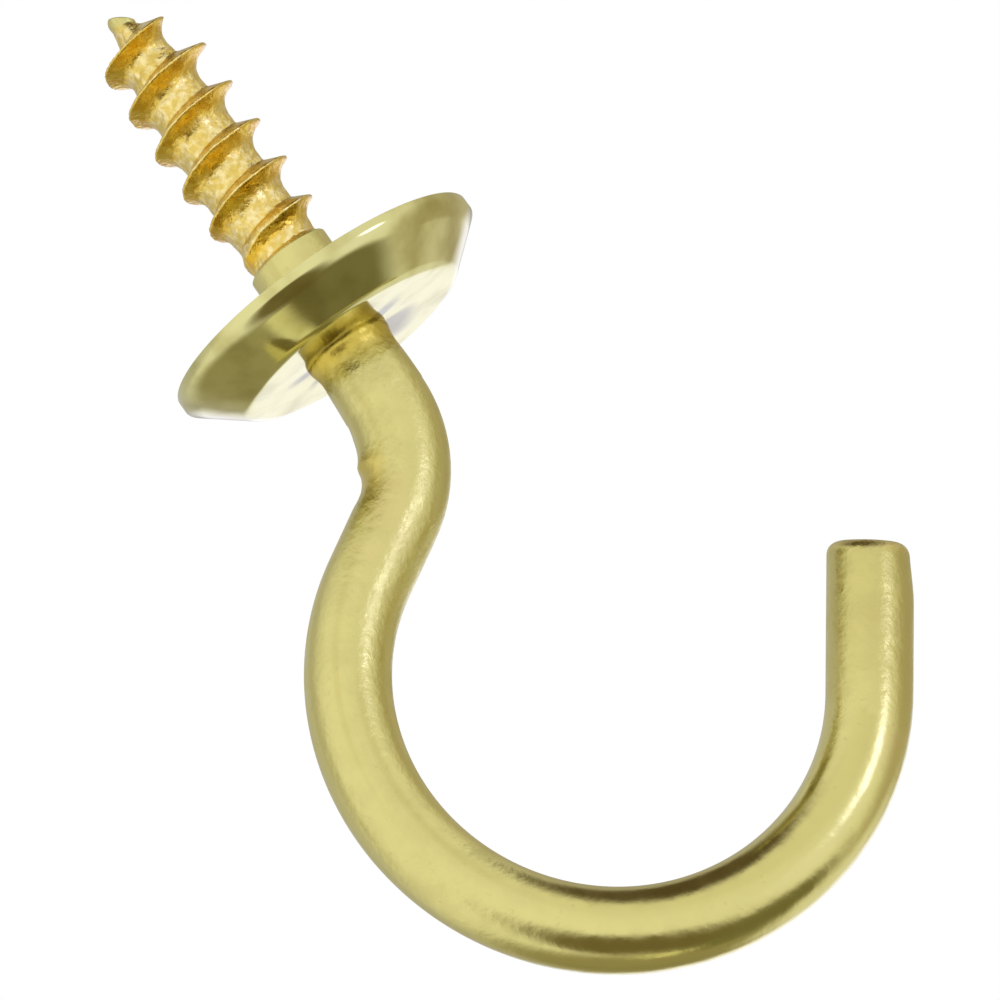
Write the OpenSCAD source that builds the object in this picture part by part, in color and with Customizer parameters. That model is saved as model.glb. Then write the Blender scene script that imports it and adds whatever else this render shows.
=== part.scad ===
// Brass cup hook with a pressed collar.
// Millimetres. The collar's open rim lies on z = 0 and seats against the board; the screw points
// up +Z into it, the hook hangs below, and the hook lies in the XZ plane with its mouth towards +X.

/* [Wire] */
// Diameter of the wire that the hook is bent from
wire_d = 3.5; // [2.8:0.1:4.5]
// Straight stretch of wire between the collar and the first bend
neck_len = 2.6; // [1:0.1:6]
// Radius of the offset bend, to the middle of the wire
offset_r = 5.4; // [4:0.1:8]
// Angle that the offset bend turns through
offset_angle = 57; // [30:1:75]
// Straight stretch between the offset bend and the loop
offset_len = 2.7; // [1:0.1:6]
// Clear diameter inside the loop
loop_d = 17.3; // [12:0.1:30]
// Angle that the loop turns through
loop_angle = 202.5; // [170:0.5:225]
// Straight stretch at the free end of the hook
tip_len = 6.1; // [2:0.1:10]
// Rounding of the free end's edge
tip_round = 0.35; // [0.1:0.05:1]
// Lean of the wire in the collar, in degrees
wire_lean = 1.2; // [0:0.1:3]
// Distance of the wire from the collar's middle
wire_shift = 0.2; // [0:0.05:0.5]

/* [Screw] */
// Length of the screw above the seat
screw_len = 14.5; // [10:0.5:25]
// Diameter at the root of the thread
root_d = 2.9; // [2:0.1:3.4]
// Diameter over the crests of the thread
crest_d = 4.5; // [3.6:0.1:6]
// Pitch of the thread
pitch = 1.95; // [1.2:0.05:2.5]
// Height above the seat at which the thread has faded out
runout_z = 1.7; // [1:0.1:4]
// Length of the pointed end
point_len = 1.9; // [1:0.1:4]
// Diameter of the blunt end of the point
point_d = 0.9; // [0.4:0.1:1.5]

/* [Collar] */
// Diameter of the collar at its rim
collar_d = 14; // [10:0.5:24]
// Height of the collar from its rim to its face
collar_h = 2.2; // [1.6:0.1:4]
// Thickness of the collar's sheet
sheet_t = 0.6; // [0.4:0.05:1]
// Height of the upright band at the rim
band_h = 0.45; // [0.3:0.05:1]
// Diameter at which the cone would meet the face
face_d = 10; // [8:0.1:12]
// Rounding between the cone and the face
corner_r = 0.8; // [0.4:0.1:1.2]
// Rounding of the rim's outer edge
rim_round = 0.15; // [0.05:0.05:0.25]

/* [Hidden] */

$fn = 96;
brass = "#cdbf73";
polished_brass = "#b9ab55";

wire_r = wire_d / 2;
root_r = root_d / 2;
crest_r = crest_d / 2;
offset_x = offset_r * (1 - cos(offset_angle));
offset_z = offset_r * sin(offset_angle);
loop_r = loop_d / 2 + wire_r;
// Each straight laps into the bends beside it, which are a hair thicker so that the laps close cleanly
lap = 0.1;
bend_swell = 0.01;
// Steps in each rounded corner of the collar, and the rounding inside its rim
arc_steps = 10;
inner_round = 0.1;

// Plain shank past the thread's fade-out, and the taper from there down to the root
shank_len = 0.6;
taper_len = 1.4;

// Thread: a blade whose flank towards the collar is the broad one. It fades in over fade_in
// turns, fades out over fade_out turns, and stops blade_stop short of the screw's end
turn_steps = 24;
blade_sink = 0.25;
flank_low = 0.62;
flank_high = 0.26;
crest_w = 0.1;
fade_in = 1.6;
fade_out = 0.8;
last_rise = 0.15;
blade_stop = 0.9;
blade_end_z = screw_len - blade_stop;
point_z = screw_len - point_len;
shank_z = runout_z + shank_len;
root_z = shank_z + taper_len;
turns = (blade_end_z - runout_z) / pitch;

// Collar: the slope of its cone
cone_angle = atan2(collar_h - band_h, (collar_d - face_d) / 2);

// The wire's own frame, in which the screw's axis is Z
module in_collar() {
    translate([-wire_shift, 0, 0]) rotate([0, wire_lean, 0]) children();
}

// A stretch of straight wire hanging down from the origin, lapping into the bends at its ends
module straight(len) {
    translate([0, 0, -len - lap]) cylinder(d = wire_d, h = len + 2 * lap);
}

// A bend that leaves the origin downwards and turns through `angle` towards +X
module bend(radius, angle) {
    translate([radius, 0, 0]) rotate([90, 0, 0]) rotate([0, 0, 180])
        rotate_extrude(angle = angle) translate([radius, 0]) circle(d = wire_d + bend_swell);
}

// The free end: a straight stretch with a rounded edge
module tip() {
    rotate([180, 0, 0]) rotate_extrude() {
        translate([0, -lap]) square([wire_r, tip_len - tip_round + lap]);
        square([wire_r - tip_round, tip_len]);
        translate([wire_r - tip_round, tip_len - tip_round]) intersection() {
            circle(r = tip_round);
            square(tip_round);
        }
    }
}

// Everything below the offset bend: the straight, the loop and the free end
module loop() {
    straight(offset_len);
    translate([0, 0, -offset_len]) {
        bend(loop_r, loop_angle);
        translate([loop_r, 0, 0]) rotate([0, -loop_angle, 0]) translate([-loop_r, 0, 0]) tip();
    }
}

// Radius of the screw's core at height z, past the shank
function core_r(z) =
    z < point_z ? root_r : root_r - (root_r - point_d / 2) * (z - point_z) / point_len;

// How much of the blade's full height stands `t` turns along the thread
function blade_rise(t) = min(1, t / fade_in, last_rise + (turns - t) / fade_out);

// Four corners of the blade's section, `t` turns along the thread
function blade_section(t) =
    let (z = runout_z + pitch * t, rise = blade_rise(t),
         inner = core_r(z) - blade_sink, outer = core_r(z) + (crest_r - root_r) * rise)
    [for (p = [[inner, -flank_low * rise], [outer, -crest_w / 2],
               [outer, crest_w / 2], [inner, flank_high * rise]])
        [p[0] * cos(360 * t), p[0] * sin(360 * t), z + p[1]]];

module blade() {
    sections = [for (i = [1 : floor(turns * turn_steps)]) blade_section(i / turn_steps)];
    last = len(sections) - 1;
    points = [for (s = sections) each s];
    sides = [for (i = [0 : last - 1], j = [0 : 3])
        [4 * i + j, 4 * i + (j + 1) % 4, 4 * (i + 1) + (j + 1) % 4, 4 * (i + 1) + j]];
    ends = [[3, 2, 1, 0], [4 * last, 4 * last + 1, 4 * last + 2, 4 * last + 3]];
    polyhedron(points = points, faces = concat(sides, ends), convexity = 10);
}

module screw() {
    cylinder(d = wire_d, h = shank_z);
    translate([0, 0, shank_z]) cylinder(r1 = wire_r, r2 = root_r, h = root_z - shank_z);
    translate([0, 0, root_z]) cylinder(r = root_r, h = point_z - root_z);
    translate([0, 0, point_z]) cylinder(r1 = root_r, r2 = point_d / 2, h = point_len);
    blade();
}

module hook_wire() {
    color(brass) in_collar() {
        screw();
        straight(collar_h + neck_len);
        translate([0, 0, -collar_h - neck_len]) {
            rotate([0, 0, 180]) bend(offset_r, offset_angle);
            translate([-offset_x, 0, -offset_z]) rotate([0, offset_angle, 0]) loop();
        }
    }
}

// Points along an arc about `centre`
function arc(centre, r, from, to) =
    [for (a = [from : (to - from) / arc_steps : to + 0.001]) centre + r * [cos(a), sin(a)]];

// Solid of revolution `inset` inside the collar's outer skin, up to top_z
module dish(inset, top_z, edge_round) {
    rim_r = collar_d / 2 - inset;
    floor_z = inset - collar_h;
    band_z = inset * tan(45 - cone_angle / 2) - band_h;
    r = max(corner_r - inset, 0.1);
    arc_r = face_d / 2 - (inset + r) * tan(cone_angle / 2);
    rotate_extrude() polygon(concat(
        [[0, floor_z]],
        arc([arc_r, floor_z + r], r, -90, cone_angle - 90),
        [[rim_r, band_z]],
        arc([rim_r - edge_round, top_z - edge_round], edge_round, 0, 90),
        [[0, top_z]]
    ));
}

module collar() {
    color(polished_brass) difference() {
        dish(0, 0, rim_round);
        dish(sheet_t, sheet_t, inner_round);
        in_collar() translate([0, 0, -2 * collar_h]) cylinder(d = wire_d, h = 3 * collar_h);
    }
}

hook_wire();
collar();
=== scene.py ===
import math

import bmesh
import bpy
from mathutils import Matrix, Quaternion, Vector, noise


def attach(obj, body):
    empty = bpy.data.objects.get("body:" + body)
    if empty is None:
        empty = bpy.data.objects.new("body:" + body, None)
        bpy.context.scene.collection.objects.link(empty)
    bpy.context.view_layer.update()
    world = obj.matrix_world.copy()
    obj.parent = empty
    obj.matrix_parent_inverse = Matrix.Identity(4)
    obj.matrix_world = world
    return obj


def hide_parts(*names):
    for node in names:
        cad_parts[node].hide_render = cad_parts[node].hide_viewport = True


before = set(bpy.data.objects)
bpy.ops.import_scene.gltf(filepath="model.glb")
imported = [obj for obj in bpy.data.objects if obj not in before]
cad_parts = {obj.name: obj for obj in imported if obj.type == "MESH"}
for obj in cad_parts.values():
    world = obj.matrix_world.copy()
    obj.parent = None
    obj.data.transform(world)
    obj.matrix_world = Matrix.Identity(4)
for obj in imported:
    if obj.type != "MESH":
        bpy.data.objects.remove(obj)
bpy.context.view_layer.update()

# ---------------------------------------------------------------------------------------
# The hook itself: one length of round brass wire. The bend under the collar and the open
# loop are bent cold round pins, the free end is cropped and tumbled, and a coarse wood
# thread is cut on the straight end. A bead staked in the neck holds the collar.
mm = 0.001
wire_radius = 1.75 * mm
ring_points = 96
neck_end = -4.8 * mm
bead_end = -3.6 * mm
staked_top = -1.2 * mm
shank_end = 1.8 * mm
screw_end = 14.5 * mm
hair = 0.004 * mm

bpy.ops.object.select_all(action="DESELECT")
bpy.ops.mesh.primitive_cylinder_add(
    vertices=ring_points,
    radius=wire_radius,
    depth=screw_end - neck_end,
    location=(0, 0, (screw_end + neck_end) / 2),
    end_fill_type="NOTHING",
)
wire = bpy.context.object
wire.name = "brass_wire_hook"
bpy.ops.object.transform_apply(location=True, rotation=True, scale=True)
bpy.ops.object.mode_set(mode="EDIT")
bpy.ops.mesh.select_mode(type="EDGE")


def select_edges(mesh, wanted):
    """Selects the edges for which wanted(start, end) is true, and no others."""
    bpy.ops.mesh.select_all(action="DESELECT")
    shape = bmesh.from_edit_mesh(mesh)
    for edge in shape.edges:
        edge.select_set(bool(wanted(edge.verts[0].co, edge.verts[1].co)))
    bmesh.update_edit_mesh(mesh)


def on_level(level):
    """Picks the edges that lie at one height."""
    return lambda a, b: abs(a.z - level) < hair and abs(b.z - level) < hair


def upright_between(low, high):
    """Picks the edges that run up the wire between two heights."""
    return lambda a, b: (
        abs(a.z - b.z) > hair and min(a.z, b.z) > low - hair and max(a.z, b.z) < high + hair
    )


# Bending: the offset bend, the short straight, the loop and the straight free end.
offset_radius = 5.4 * mm
offset_turn = math.radians(57)
offset_straight = 2.7 * mm
loop_radius = 10.4 * mm
loop_turn = math.radians(202.5)
tip_rounding = 0.55 * mm
tip_straight = 6.42 * mm - tip_rounding
offset_steps = 38
straight_steps = 14
loop_steps = 140
tip_steps = 24


def heading(turn):
    """Direction of the wire once it has turned this far from straight down."""
    return Vector((-math.sin(turn), 0, -math.cos(turn)))


def inward(turn):
    """Direction from the wire to the middle of the offset bend, at the same turn."""
    return Vector((-math.cos(turn), 0, math.sin(turn)))


offset_middle = Vector((0, 0, neck_end)) + inward(0) * offset_radius
offset_end = offset_middle - inward(offset_turn) * offset_radius
loop_start = offset_end + heading(offset_turn) * offset_straight
loop_middle = loop_start - inward(offset_turn) * loop_radius
tip_turn = offset_turn - loop_turn
tip_way = heading(tip_turn)
tip_end = loop_middle + inward(tip_turn) * loop_radius + tip_way * tip_straight

select_edges(wire.data, on_level(neck_end))
bpy.ops.mesh.spin(steps=offset_steps, angle=-offset_turn, center=offset_middle, axis=(0, 1, 0))
straight_step = heading(offset_turn) * offset_straight / straight_steps
for _ in range(straight_steps):
    bpy.ops.mesh.extrude_region_move(TRANSFORM_OT_translate={"value": straight_step})
bpy.ops.mesh.spin(steps=loop_steps, angle=loop_turn, center=loop_middle, axis=(0, 1, 0))
tip_step = tip_way * tip_straight / tip_steps
for _ in range(tip_steps):
    bpy.ops.mesh.extrude_region_move(TRANSFORM_OT_translate={"value": tip_step})

# The cropped end: a face with its edge rounded over by tumbling, and its middle a hair high.
rounding_steps = 6
cap_rows = [(0.03 * mm, 0.75), (0.02 * mm, 0.65), (0.01 * mm, 0.5)]


def draw_in(rise, shrink, middle):
    """Carries the free end's last ring on by rise, and draws it in round a middle."""
    bpy.ops.mesh.extrude_region_move(TRANSFORM_OT_translate={"value": tip_way * rise})
    bpy.ops.transform.resize(value=(shrink, shrink, shrink), center_override=middle)


for step in range(rounding_steps):
    near = math.pi / 2 * step / rounding_steps
    far = math.pi / 2 * (step + 1) / rounding_steps
    rise = tip_rounding * (math.sin(far) - math.sin(near))
    near_radius = wire_radius - tip_rounding * (1 - math.cos(near))
    far_radius = wire_radius - tip_rounding * (1 - math.cos(far))
    draw_in(rise, far_radius / near_radius, tip_end + tip_way * tip_rounding * math.sin(far))
for rise, shrink in cap_rows:
    draw_in(rise, shrink, tip_end + tip_way * tip_rounding)
bpy.ops.mesh.edge_face_add()
bpy.ops.mesh.poke()

# Rings close enough together to take the staked neck, the shank and the thread. The thread's
# stretch comes twice, so that each of its rows is split again.
splits = (bead_end, staked_top, shank_end)
ring_cuts = [
    (neck_end, bead_end, 5),
    (bead_end, staked_top, 50),
    (staked_top, shank_end, 30),
    (shank_end, screw_end, 15),
    (shank_end, screw_end, 15),
]
for split_z in splits:
    bpy.ops.mesh.select_all(action="SELECT")
    bpy.ops.mesh.bisect(plane_co=(0, 0, split_z), plane_no=(0, 0, 1))
for low, high, cuts in ring_cuts:
    select_edges(wire.data, upright_between(low, high))
    bpy.ops.mesh.subdivide(number_cuts=cuts)

# The cropped point: the top ring is drawn in over a hollow, broken face.
point_rows = 4
point_shrink = 0.8
select_edges(wire.data, on_level(screw_end))
for _ in range(point_rows):
    bpy.ops.mesh.extrude_region_move(TRANSFORM_OT_translate={"value": (0, 0, -hair)})
    bpy.ops.transform.resize(
        value=(point_shrink, point_shrink, 1), center_override=(0, 0, screw_end)
    )
bpy.ops.mesh.edge_face_add()
bpy.ops.mesh.poke()
bpy.ops.mesh.select_all(action="SELECT")
bpy.ops.mesh.normals_make_consistent(inside=False)
bpy.ops.object.mode_set(mode="OBJECT")

# Cutting the thread and staking the neck: heights and radii along the straight end.
pitch = 1.915 * mm
first_crest = 1.99 * mm


def ease(x, start, end):
    """Goes smoothly from 0 at start to 1 at end."""
    share = min(max((x - start) / (end - start), 0), 1)
    return share * share * (3 - 2 * share)


def fade(x, start, end):
    """Goes smoothly from 1 at start to 0 at end."""
    return ease(-x, -end, -start)


def along(x, stations):
    """Reads a value off a row of (place, value) stations, straight between them."""
    for (x0, v0), (x1, v1) in zip(stations, stations[1:]):
        if x <= x1:
            return v0 + (v1 - v0) * min(max((x - x0) / (x1 - x0), 0), 1)
    return stations[-1][1]


def circling(angle, size, level):
    """A point on a circle, where noise is read so that it closes up all the way round."""
    return Vector((size * math.cos(angle), size * math.sin(angle), level))


neck_radius = 1.775 * mm
shank_radius = 1.8 * mm
neck_blend = 1.5 * mm
collar_face = -2.2 * mm
bead_rise = 0.09 * mm
bead_middle = -2.26 * mm
bead_width = 0.3 * mm
waist_depth = 0.05 * mm
waist_middle = -3.0 * mm
waist_width = 0.5 * mm
staking_even = 0.8
staking_uneven = 0.9
core_radii = [
    (2.3 * mm, 1.52 * mm), (4.4 * mm, 1.5 * mm), (6.3 * mm, 1.42 * mm), (8.0 * mm, 1.39 * mm),
    (10.0 * mm, 1.31 * mm), (11.5 * mm, 1.18 * mm), (12.5 * mm, 0.96 * mm), (13.5 * mm, 0.64 * mm),
    (14.1 * mm, 0.42 * mm), (screw_end, 0.45 * mm),
]
crest_radii = [
    (2.0 * mm, 1.7 * mm), (3.2 * mm, 1.8 * mm), (3.9 * mm, 2.12 * mm), (5.0 * mm, 2.16 * mm),
    (11.5 * mm, 2.16 * mm), (12.7 * mm, 1.93 * mm), (13.44 * mm, 1.4 * mm), (14.0 * mm, 0.75 * mm),
    (screw_end, 0.47 * mm),
]


def staked_radius(height, angle):
    """Radius of the plain wire: a soft bead staked against the collar, over a slight waist."""
    plain = neck_radius + (shank_radius - neck_radius) * ease(height, 0, neck_blend)
    uneven = staking_even + staking_uneven * noise.noise(circling(angle, size=1.6, level=2.5))
    bead = bead_rise * uneven * math.exp(-(((height - bead_middle) / bead_width) ** 2))
    waist = waist_depth * uneven * math.exp(-(((height - waist_middle) / waist_width) ** 2))
    return plain + bead - waist


thread_start = 2 * mm
shoulder_height = 2.35 * mm
shoulder_slant = 0.12 * mm
shoulder_blend = 0.12 * mm
crest_off = 0.11 * mm
crest_off_fade = (11 * mm, 13.5 * mm)
flank_rise = (0.6, 0.85)
flank_fade = (0.97, 1)
crest_half = 0.022
steep_end = 0.22
flank_power = 4


def thread_section(share):
    """Height of the thread from root to crest, over one pitch from a crest towards the point."""
    if share < crest_half or share > 1 - crest_half:
        return 1.0
    if share < steep_end:
        return 1 - (share - crest_half) / (steep_end - crest_half)
    return ((share - steep_end) / (1 - crest_half - steep_end)) ** flank_power


def turned(height, angle):
    """Radius of the straight end at a height and an angle round it, and how far it is cut."""
    if height < thread_start:
        return staked_radius(height, angle), 0.0, 0.0
    side = math.cos(angle)
    share = ((height - first_crest) / pitch - angle / math.tau) % 1
    core = along(height, core_radii)
    crest = along(height, crest_radii) + crest_off * side * fade(height, *crest_off_fade)
    threaded = core + (crest - core) * thread_section(share)
    shoulder = shoulder_height + shoulder_slant * side
    cut = ease(height, shoulder - shoulder_blend, shoulder + shoulder_blend)
    flank = ease(share, *flank_rise) * fade(share, *flank_fade)
    return staked_radius(height, angle) * (1 - cut) + threaded * cut, cut, flank * cut


# The marks that the material reads. All are made before any is filled in.
mark_names = ("cut", "flank", "neck_reflection_and_bend_tint", "worn", "drawn")
for name in mark_names:
    wire.data.attributes.new(name, "FLOAT", "POINT")
marks = {name: wire.data.attributes[name].data for name in mark_names}

point_inside = 0.99 * wire_radius
point_hollow = 0.16 * mm
point_cut_fade = (13.8 * mm, 14.2 * mm)
rough_fade = (13 * mm, 14.4 * mm)
tear_size = 0.3 * mm
tear_depth = 0.035 * mm
wave_size = 0.9 * mm
wave_depth = 0.05 * mm
screw_off = 0.08 * mm
screw_off_rise = (-1 * mm, 1 * mm)
screw_off_fade = (2 * mm, 12 * mm)
crop_start = 13.3 * mm
crop_drop = 0.27 * mm
crop_slant = 0.65
for vertex in wire.data.vertices:
    place = vertex.co
    if place.z < neck_end - hair:
        continue
    around = math.hypot(place.x, place.y)
    drawn_in = 1.0
    drop = 0.0
    if place.z > screw_end - (point_rows + 2) * hair and around < point_inside:
        drawn_in = around / wire_radius
        drop = point_hollow * (1 - drawn_in)
        place.z = screw_end
    angle = math.atan2(place.y, place.x)
    radius, cut, flank = turned(place.z, angle)
    marks["cut"][vertex.index].value = cut * fade(place.z, *point_cut_fade)
    marks["flank"][vertex.index].value = flank
    rough = tear_depth * noise.noise(place / tear_size) + wave_depth * noise.noise(place / wave_size)
    radius = (radius + rough * cut * fade(place.z, *rough_fade)) * drawn_in
    off_middle = screw_off * ease(place.z, *screw_off_rise) * fade(place.z, *screw_off_fade)
    x = math.cos(angle) * radius + off_middle
    y = math.sin(angle) * radius
    z = place.z
    if z > crop_start:
        lowered = (crop_drop + crop_slant * x) / (screw_end - crop_start)
        stretch = 1 - lowered * ease(z, crop_start, screw_end)
        z = crop_start + (z - crop_start) * stretch - drop
    vertex.co = Vector((x, y, z))

# Bending marks: the inside of the offset bend is upset into a bulge that ends in a burr with
# a notch below it. The bulge is a lift of the surface at each turn of the bend, in degrees.
bulge = [
    (-14, 0.0), (0, 0.06 * mm), (12, 0.15 * mm), (26, 0.17 * mm), (33, 0.17 * mm), (38, 0.08 * mm),
    (43, 0.0), (49, -0.04 * mm), (55, -0.03 * mm), (62, 0.0),
]
bulge_facing = (0.1, 0.95)
upset_start = -20
upset_end = 70
burr_turn = 34.5
burr_rise = 0.09 * mm
burr_lead = 7
burr_trail = 2.6
burr_front = 0.2
burr_width = 0.45
burr_facing = (0.3, 0.8)
stripe_rise = (22, 36)
stripe_fade = (44, 62)
stripe_facing = (0.45, 0.8)
stripe_tint = 0.55
outer_way = inward(tip_turn)


def section_angle(place):
    """Angle round the wire's own section, carried without a twist along all its bends."""
    from_offset = place - offset_middle
    from_loop = place - loop_middle
    if place.z > neck_end:
        side = place.x
    elif math.atan2(-from_offset.z, from_offset.x) < offset_turn:
        side = math.hypot(from_offset.x, from_offset.z) - offset_radius
    elif from_loop.dot(tip_way) > 0 and place.x > 0:
        side = loop_radius - from_loop.dot(outer_way)
    else:
        side = loop_radius - math.hypot(from_loop.x, from_loop.z)
    return math.atan2(place.y, side)


# Wear: lines drawn along the wire, and dull parts low on the loop and by the free end. A deeper
# gold is painted round the neck as painted reflection of wire and collar in each other. The free
# end itself is cropped at a slight slant and a hair tapered.
line_crowding = 3.2
line_length = 16 * mm
line_range = (-0.05, 0.4)
end_side = 8 * mm
end_zone = (-2.2 * mm, 0.6 * mm)
end_slant = 0.25
end_taper = 0.2 * mm
end_cut = 0.4
end_cut_rise = (-0.1 * mm, 0.35 * mm)
neck_reflection = 0.9
neck_rise = (-3.7 * mm, -2.5 * mm)
neck_fade = (-1.4 * mm, -1.2 * mm)
loop_worn_way = (0.6, -0.8)
loop_worn_fade = (11 * mm, 19 * mm)
tip_worn_across = (4 * mm, 9 * mm)
tip_worn_up = (-29 * mm, -24 * mm)
for vertex in wire.data.vertices:
    place = vertex.co.copy()
    lines = circling(section_angle(place), line_crowding, 0) + place / line_length
    marks["drawn"][vertex.index].value = ease(noise.noise(lines), *line_range)
    from_tip = place - tip_end
    past_tip = from_tip.dot(tip_way)
    if past_tip > end_zone[0] and place.x > end_side:
        near_end = ease(past_tip, *end_zone)
        outer = from_tip.dot(outer_way) / wire_radius
        slanted = tip_way * (end_slant * place.y * near_end)
        place = place + slanted - outer_way * (end_taper * near_end * max(outer, 0))
        vertex.co = place
        marks["cut"][vertex.index].value = end_cut * ease(past_tip, *end_cut_rise)
    # Painted reflection: a deeper gold round the neck, where wire and collar reflect each other.
    around_neck = ease(place.z, *neck_rise) * fade(place.z, *neck_fade)
    marks["neck_reflection_and_bend_tint"][vertex.index].value = neck_reflection * around_neck
    along_wear = loop_worn_way[0] * place.x + loop_worn_way[1] * place.z
    loop_worn = fade(along_wear, *loop_worn_fade)
    tip_worn = ease(place.x, *tip_worn_across) * ease(place.z, *tip_worn_up)
    marks["worn"][vertex.index].value = max(loop_worn, tip_worn)
    from_middle = place - offset_middle
    turn = math.degrees(math.atan2(-from_middle.z, from_middle.x))
    reach = math.hypot(from_middle.x, from_middle.z)
    in_bend = upset_start < turn < upset_end and reach < offset_radius + wire_radius
    if in_bend and place.z < bead_end:
        facing = (offset_radius - reach) / wire_radius
        front = -place.y / wire_radius
        spread = burr_lead if turn < burr_turn else burr_trail
        lengthways = ((turn - burr_turn) / spread) ** 2
        sideways = ((front - burr_front) / burr_width) ** 2
        burr = burr_rise * math.exp(-lengthways - sideways) * ease(facing, *burr_facing)
        lift = along(turn, bulge) * ease(facing, *bulge_facing) + burr
        inner_way = Vector((-from_middle.x, 0, -from_middle.z)).normalized()
        vertex.co = place + inner_way * lift
        # A warmer gold on the inside of the bend, below the burr.
        stripe = ease(turn, *stripe_rise) * fade(turn, *stripe_fade) * ease(facing, *stripe_facing)
        marks["neck_reflection_and_bend_tint"][vertex.index].value = stripe_tint * stripe

bpy.ops.object.select_all(action="DESELECT")
bpy.context.view_layer.objects.active = wire
wire.select_set(True)
bpy.ops.object.shade_smooth()
lean = math.radians(1.2)
shift = Vector((-0.2 * mm, 0, 0))
wire.data.transform(Matrix.Translation(shift) @ Matrix.Rotation(lean, 4, "Y"))


def start_brass(name):
    """A new metal material, with its node tree, its shader and its object coordinates."""
    brass = bpy.data.materials.new(name)
    brass.use_nodes = True
    tree = brass.node_tree
    shader = tree.nodes["Principled BSDF"]
    shader.inputs["Metallic"].default_value = 1.0
    return brass, tree, shader, tree.nodes.new("ShaderNodeTexCoord").outputs["Object"]


def grain(tree, coordinates, size, detail=3.0):
    """Noise whose features are about the given size."""
    texture = tree.nodes.new("ShaderNodeTexNoise")
    texture.inputs["Scale"].default_value = 1 / size
    texture.inputs["Detail"].default_value = detail
    tree.links.new(coordinates, texture.inputs["Vector"])
    return texture.outputs["Fac"]


def ramp(tree, value, low, high, out_low=0.0, out_high=1.0):
    """Stretches the part of a value between low and high to out_low and out_high."""
    stretch = tree.nodes.new("ShaderNodeMapRange")
    stretch.interpolation_type = "SMOOTHSTEP"
    stretch.inputs["From Min"].default_value = low
    stretch.inputs["From Max"].default_value = high
    stretch.inputs["To Min"].default_value = out_low
    stretch.inputs["To Max"].default_value = out_high
    tree.links.new(value, stretch.inputs["Value"])
    return stretch.outputs["Result"]


def blend_colour(tree, share, first, second):
    """Mixes two colours, each an output or a plain colour."""
    mix = tree.nodes.new("ShaderNodeMix")
    mix.data_type = "RGBA"
    tree.links.new(share, mix.inputs["Factor"])
    for socket, colour in (("A", first), ("B", second)):
        if isinstance(colour, tuple):
            mix.inputs[socket].default_value = (*colour, 1)
        else:
            tree.links.new(colour, mix.inputs[socket])
    return mix.outputs["Result"]


def blend_value(tree, share, first, second):
    """Mixes two values."""
    mix = tree.nodes.new("ShaderNodeMix")
    tree.links.new(share, mix.inputs["Factor"])
    tree.links.new(first, mix.inputs["A"])
    tree.links.new(second, mix.inputs["B"])
    return mix.outputs["Result"]


def scale_value(tree, value, factor):
    """Multiplies a value by a plain number."""
    times = tree.nodes.new("ShaderNodeMath")
    times.operation = "MULTIPLY"
    tree.links.new(value, times.inputs[0])
    times.inputs[1].default_value = factor
    return times.outputs["Value"]


def dent(tree, height, depth, below=None, strength=None):
    """Bumps the surface by a height map of the given depth, on top of an earlier bump."""
    bump = tree.nodes.new("ShaderNodeBump")
    bump.inputs["Distance"].default_value = depth
    tree.links.new(height, bump.inputs["Height"])
    if strength is not None:
        tree.links.new(strength, bump.inputs["Strength"])
    if below is not None:
        tree.links.new(below, bump.inputs["Normal"])
    return bump.outputs["Normal"]


def painted_mark(tree, name):
    """The value painted on the mesh under this name."""
    mark = tree.nodes.new("ShaderNodeAttribute")
    mark.attribute_name = name
    return mark.outputs["Fac"]


# Clean wire is pale, with darker drawn lines, fine specks, a warmer gold on the inside of the
# bend, and a deeper gold round the neck that is painted reflection of wire and collar in each
# other. The cut metal of the thread is golden, with painted glints on the roots; the flanks that
# face the collar get a deeper gold with brighter glows, painted reflection of the thread's brass.
plain_brass = (0.665, 0.6, 0.23)
stained_brass = (0.672, 0.584, 0.235)
drawn_brass = (0.52, 0.45, 0.14)
reflection_and_bend_gold = (0.62, 0.47, 0.07)
speck_brass = (0.5, 0.42, 0.14)
root_brass = (0.74, 0.55, 0.14)
root_glint = (0.88, 0.73, 0.34)
flank_reflection_gold = (0.74, 0.46, 0.04)
flank_reflection_glow = (0.85, 0.6, 0.1)
drawn_share = 0.4
speck_share = 0.35
wire_brass, tree, shader, coordinates = start_brass("brass_wire_finish")
stain = ramp(tree, grain(tree, coordinates, size=2.6 * mm, detail=2.0), low=0.52, high=0.72)
stained = blend_colour(tree, stain, plain_brass, stained_brass)
drawn = scale_value(tree, painted_mark(tree, "drawn"), drawn_share)
clean = blend_colour(tree, drawn, stained, drawn_brass)
# Painted reflection round the neck, and a warmer gold on the bend, mixed into the clean colour.
reflection_and_bend_tinted = blend_colour(tree, painted_mark(tree, "neck_reflection_and_bend_tint"), clean, reflection_and_bend_gold)
speck = ramp(tree, grain(tree, coordinates, size=0.35 * mm), low=0.62, high=0.75)
wire_colour = blend_colour(tree, scale_value(tree, speck, speck_share), reflection_and_bend_tinted, speck_brass)
# Painted glints: pale cream patches painted on the thread's roots.
root_glint_mask = ramp(tree, grain(tree, coordinates, size=0.3 * mm), low=0.4, high=0.65)
root_colour = blend_colour(tree, root_glint_mask, root_brass, root_glint)
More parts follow.
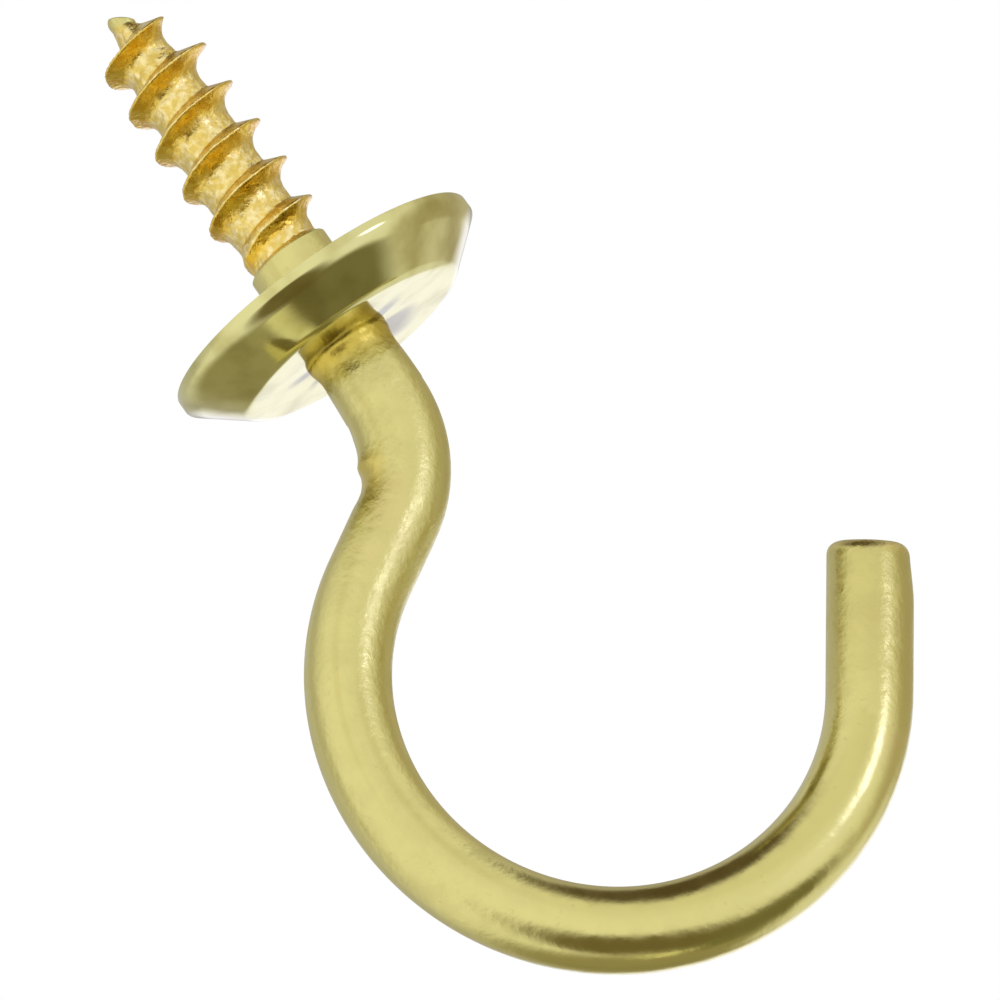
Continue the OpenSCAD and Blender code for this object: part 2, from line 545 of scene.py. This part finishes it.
# Painted reflection: the flanks that face the collar get a deeper gold with painted glows.
flank_glow_mask = ramp(tree, grain(tree, coordinates, size=0.5 * mm), low=0.4, high=0.6)
flank_colour = blend_colour(tree, flank_glow_mask, flank_reflection_gold, flank_reflection_glow)
cut_colour = blend_colour(tree, painted_mark(tree, "flank"), root_colour, flank_colour)
cut_share = painted_mark(tree, "cut")
tree.links.new(blend_colour(tree, cut_share, wire_colour, cut_colour), shader.inputs["Base Color"])
worn = painted_mark(tree, "worn")
patches = grain(tree, coordinates, size=0.9 * mm)
polished_gloss = ramp(tree, patches, low=0.3, high=0.7, out_low=0.16, out_high=0.25)
worn_gloss = ramp(tree, patches, low=0.3, high=0.7, out_low=0.27, out_high=0.4)
wire_gloss = blend_value(tree, worn, polished_gloss, worn_gloss)
tears = grain(tree, coordinates, size=0.2 * mm)
cut_gloss = ramp(tree, tears, low=0.3, high=0.7, out_low=0.14, out_high=0.45)
tree.links.new(blend_value(tree, cut_share, wire_gloss, cut_gloss), shader.inputs["Roughness"])
waves = dent(tree, grain(tree, coordinates, size=1.1 * mm, detail=1.0), depth=0.025 * mm)
ripples = dent(tree, grain(tree, coordinates, size=0.25 * mm), depth=0.006 * mm, below=waves)
pits = dent(
    tree, grain(tree, coordinates, size=0.3 * mm), depth=0.03 * mm, below=ripples, strength=worn
)
torn = dent(tree, tears, depth=0.04 * mm, below=pits, strength=cut_share)
tree.links.new(torn, shader.inputs["Normal"])
wire.data.materials.append(wire_brass)

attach(wire, "root")
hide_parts("hook_wire")

# ---------------------------------------------------------------------------------------
# The collar: a shallow dish pressed from 0.6 mm brass sheet and polished before it was
# threaded over the wire and staked there. Its open rim beds against the board.
collar_points = 192
hole_radius = 1.6 * mm
sheet = 0.6 * mm
rim_radius = 7 * mm
band_top = -0.45 * mm
rim_row = -0.2 * mm
face_radius = 5 * mm
cone_slope = math.atan2(band_top - collar_face, rim_radius - face_radius)
cone_rows = (0.35, 0.7, 1.0)
corner_rounding = 0.8 * mm
corner_steps = 12
corner_start = face_radius - corner_rounding * math.tan(cone_slope / 2)
hole_lip = [
    (hole_radius, 0.08 * mm), (1.85 * mm, 0.045 * mm), (2.2 * mm, 0.02 * mm), (2.7 * mm, 0.005 * mm),
    (3.2 * mm, 0.0), (3.7 * mm, 0.0), (4.2 * mm, 0.0),
]
skin = [(reach, collar_face + sunk) for reach, sunk in hole_lip]
for step in range(corner_steps + 1):
    slope = cone_slope * step / corner_steps
    skin.append((
        corner_start + corner_rounding * math.sin(slope),
        collar_face + corner_rounding * (1 - math.cos(slope)),
    ))
cone_foot = skin[-1]
for share in cone_rows:
    skin.append((
        cone_foot[0] + (rim_radius - cone_foot[0]) * share,
        cone_foot[1] + (band_top - cone_foot[1]) * share,
    ))
skin.append((rim_radius, rim_row))
skin.append((rim_radius, 0.0))

bpy.ops.object.select_all(action="DESELECT")
bpy.ops.mesh.primitive_circle_add(
    vertices=collar_points, radius=skin[0][0], fill_type="NOTHING", location=(0, 0, skin[0][1])
)
collar = bpy.context.object
collar.name = "pressed_collar"
bpy.ops.object.transform_apply(location=True, rotation=True, scale=True)
bpy.ops.object.mode_set(mode="EDIT")
bpy.ops.mesh.select_mode(type="EDGE")
bpy.ops.mesh.select_all(action="SELECT")
for (r0, z0), (r1, z1) in zip(skin, skin[1:]):
    bpy.ops.mesh.extrude_region_move(TRANSFORM_OT_translate={"value": (0, 0, z1 - z0)})
    bpy.ops.transform.resize(value=(r1 / r0, r1 / r0, 1), center_override=(0, 0, z1))
bpy.ops.mesh.select_all(action="SELECT")
bpy.ops.mesh.normals_make_consistent(inside=False)
bpy.ops.object.mode_set(mode="OBJECT")
if collar.data.polygons[0].normal.z > 0:
    bpy.ops.object.mode_set(mode="EDIT")
    bpy.ops.mesh.select_all(action="SELECT")
    bpy.ops.mesh.flip_normals()
    bpy.ops.object.mode_set(mode="OBJECT")
wall = collar.modifiers.new("sheet", "SOLIDIFY")
wall.thickness = sheet
wall.offset = -1
wall.use_even_offset = True
bpy.ops.object.modifier_apply(modifier=wall.name)

# The hole is drawn over to where the leaning wire comes through, and the edges are eased.
hole_middle = shift.x + collar_face * math.sin(lean)
hole_shift_fade = (1.8 * mm, 3.6 * mm)
edge_rounding = 0.14 * mm
edge_segments = 4
edge_angle = math.radians(60)
for vertex in collar.data.vertices:
    reach = math.hypot(vertex.co.x, vertex.co.y)
    vertex.co.x += hole_middle * fade(reach, *hole_shift_fade)
edges = collar.modifiers.new("edges", "BEVEL")
edges.width = edge_rounding
edges.segments = edge_segments
edges.limit_method = "ANGLE"
edges.angle_limit = edge_angle
bpy.ops.object.modifier_apply(modifier=edges.name)
bpy.ops.object.mode_set(mode="EDIT")
bpy.ops.mesh.select_all(action="SELECT")
bpy.ops.mesh.remove_doubles(threshold=hair / 4)
bpy.ops.object.mode_set(mode="OBJECT")
bpy.ops.object.shade_smooth()

# Painted reflection: dark streaks painted on the face round the wire, for the wire's
# dark reflection in the polished face.
face_reflection_reach = 2.9 * mm
face_reflection_spread = 1.6 * mm
face_reflection_inner = 0.7
face_reflection_gaps = (-0.15, 0.2)
face_reflection_mark = collar.data.attributes.new("face_reflection", "FLOAT", "POINT")
for vertex in collar.data.vertices:
    place = vertex.co
    angle = math.atan2(place.y, place.x)
    reach = math.hypot(place.x, place.y)
    uneven = noise.noise(circling(angle, size=2.2, level=0.7))
    outer = face_reflection_reach + face_reflection_spread * uneven
    face_reflection = fade(reach, face_reflection_inner * outer, outer) * ease(uneven, *face_reflection_gaps)
    face_reflection_mark.data[vertex.index].value = face_reflection

# The polish is bright, with a faint cloudy tarnish, a painted dark reflection of the wire
# round the hole, and a soft haze over it.
polished_brass = (0.65, 0.61, 0.27)
tarnished_brass = (0.5, 0.45, 0.17)
reflected_wire_dark = (0.3, 0.27, 0.15)
collar_brass, tree, shader, coordinates = start_brass("polished_brass_finish")
tarnish = ramp(tree, grain(tree, coordinates, size=2.2 * mm), low=0.42, high=0.7)
tarnished = blend_colour(tree, tarnish, polished_brass, tarnished_brass)
# Painted reflection: the wire's dark reflection is mixed into the face's colour here.
with_face_reflection = blend_colour(tree, painted_mark(tree, "face_reflection"), tarnished, reflected_wire_dark)
tree.links.new(with_face_reflection, shader.inputs["Base Color"])
haze_grain = grain(tree, coordinates, size=1.6 * mm)
haze = ramp(tree, haze_grain, low=0.35, high=0.7, out_low=0.07, out_high=0.15)
tree.links.new(haze, shader.inputs["Roughness"])
pressed = dent(tree, grain(tree, coordinates, size=2.2 * mm, detail=1.0), depth=0.03 * mm)
buffed = dent(tree, grain(tree, coordinates, size=0.4 * mm), depth=0.0015 * mm, below=pressed)
tree.links.new(buffed, shader.inputs["Normal"])
collar.data.materials.append(collar_brass)

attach(collar, "root")
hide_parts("collar")

# ---------------------------------------------------------------------------------------
# The studio: a plain pale floor well below the hook, the camera, and a white surround with
# soft cards in it for the metal to reflect.
floor_size = 8
floor_level = -0.3
floor_colour = (0.9, 0.9, 0.9, 1)
floor_roughness = 0.9
bpy.ops.mesh.primitive_plane_add(size=floor_size, location=(0, 0, floor_level))
floor = bpy.context.object
floor.name = "studio_floor"
floor_paint = bpy.data.materials.new("pale_floor")
floor_paint.use_nodes = True
floor_shader = floor_paint.node_tree.nodes["Principled BSDF"]
floor_shader.inputs["Base Color"].default_value = floor_colour
floor_shader.inputs["Roughness"].default_value = floor_roughness
floor.data.materials.append(floor_paint)
floor.visible_glossy = False

camera_azimuth = math.radians(16.09)
camera_elevation = math.radians(-13.48)
camera_roll = math.radians(-35.97)
camera_distance = 0.8802
camera_field = math.radians(2.597)
camera_target = Vector((0.00173, 0.002071, -0.010304))
back = Vector((
    -math.sin(camera_azimuth) * math.cos(camera_elevation),
    -math.cos(camera_azimuth) * math.cos(camera_elevation),
    math.sin(camera_elevation),
))
camera = bpy.data.objects.new("camera", bpy.data.cameras.new("camera"))
bpy.context.scene.collection.objects.link(camera)
camera.data.sensor_width = 36
camera.data.angle = camera_field
camera.data.clip_start = 0.05
camera.data.clip_end = 20
camera.location = camera_target + back * camera_distance
level = back.to_track_quat("Z", "Y")
camera.rotation_mode = "QUATERNION"
camera.rotation_quaternion = level @ Quaternion((0, 0, 1), camera_roll)
bpy.context.scene.camera = camera

# The surround is white, with soft dim and bright cards standing round the hook. A card is
# placed by its angle from the camera, its clock angle as the camera sees it (0 is right and
# 90 is up), and the angles at which it is whole and at which it has faded out.
camera_turn = camera.rotation_quaternion
surround_white = (1.05, 1.05, 1.05, 1)
cards = [
    # angle, clock, whole, faded, colour
    (180, 0, 24, 60, (0.45, 0.42, 0.33)),
    (28, 190, 20, 62, (1.15, 1.15, 1.15)),
    (130, 185, 18, 58, (0.66, 0.66, 0.68)),
    (125, 8, 22, 56, (0.6, 0.55, 0.42)),
    (105, 280, 24, 46, (0.4, 0.37, 0.24)),
    (48, 10, 9, 24, (1.12, 1.12, 1.22)),
    (72, 316, 17, 32, (0.24, 0.22, 0.12)),
    (41, 287, 18, 33, (0.22, 0.18, 0.09)),
    (78, 289, 3, 9, (0.95, 0.92, 0.65)),
    (54, 29, 5, 11, (2.6, 2.7, 4.5)),
    (106, 97, 18, 40, (0.12, 0.09, 0.05)),
    (122, 325, 8, 26, (1.0, 1.0, 1.0)),
    (156, 306, 12, 24, (1.3, 1.32, 1.6)),
]
world = bpy.data.worlds.new("studio")
bpy.context.scene.world = world
world.use_nodes = True
nodes = world.node_tree.nodes
links = world.node_tree.links
surround = nodes["Background"]
outlook = nodes.new("ShaderNodeTexCoord")
seen = None
for angle, clock, whole, faded, colour in cards:
    tilt = math.radians(angle)
    bearing = math.radians(clock)
    card_way = camera_turn @ Vector((
        math.sin(tilt) * math.cos(bearing), math.sin(tilt) * math.sin(bearing), math.cos(tilt)
    ))
    facing_card = nodes.new("ShaderNodeVectorMath")
    facing_card.operation = "DOT_PRODUCT"
    facing_card.inputs[1].default_value = card_way
    links.new(outlook.outputs["Generated"], facing_card.inputs[0])
    edge = nodes.new("ShaderNodeMapRange")
    edge.interpolation_type = "SMOOTHSTEP"
    edge.inputs["From Min"].default_value = math.cos(math.radians(faded))
    edge.inputs["From Max"].default_value = math.cos(math.radians(whole))
    links.new(facing_card.outputs["Value"], edge.inputs["Value"])
    card = nodes.new("ShaderNodeMix")
    card.data_type = "RGBA"
    card.inputs["A"].default_value = surround_white
    card.inputs["B"].default_value = (*colour, 1)
    links.new(edge.outputs["Result"], card.inputs["Factor"])
    if seen is not None:
        links.new(seen, card.inputs["A"])
    seen = card.outputs["Result"]
links.new(seen, surround.inputs["Color"])

# The metal reflects the surround, and the camera itself sees plain white behind the hook.
backdrop = nodes.new("ShaderNodeBackground")
backdrop.inputs["Color"].default_value = (1, 1, 1, 1)
ray = nodes.new("ShaderNodeLightPath")
which = nodes.new("ShaderNodeMixShader")
links.new(ray.outputs["Is Camera Ray"], which.inputs["Fac"])
links.new(surround.outputs["Background"], which.inputs[1])
links.new(backdrop.outputs["Background"], which.inputs[2])
links.new(which.outputs["Shader"], nodes["World Output"].inputs["Surface"])
bpy.context.scene.view_settings.view_transform = "Standard"
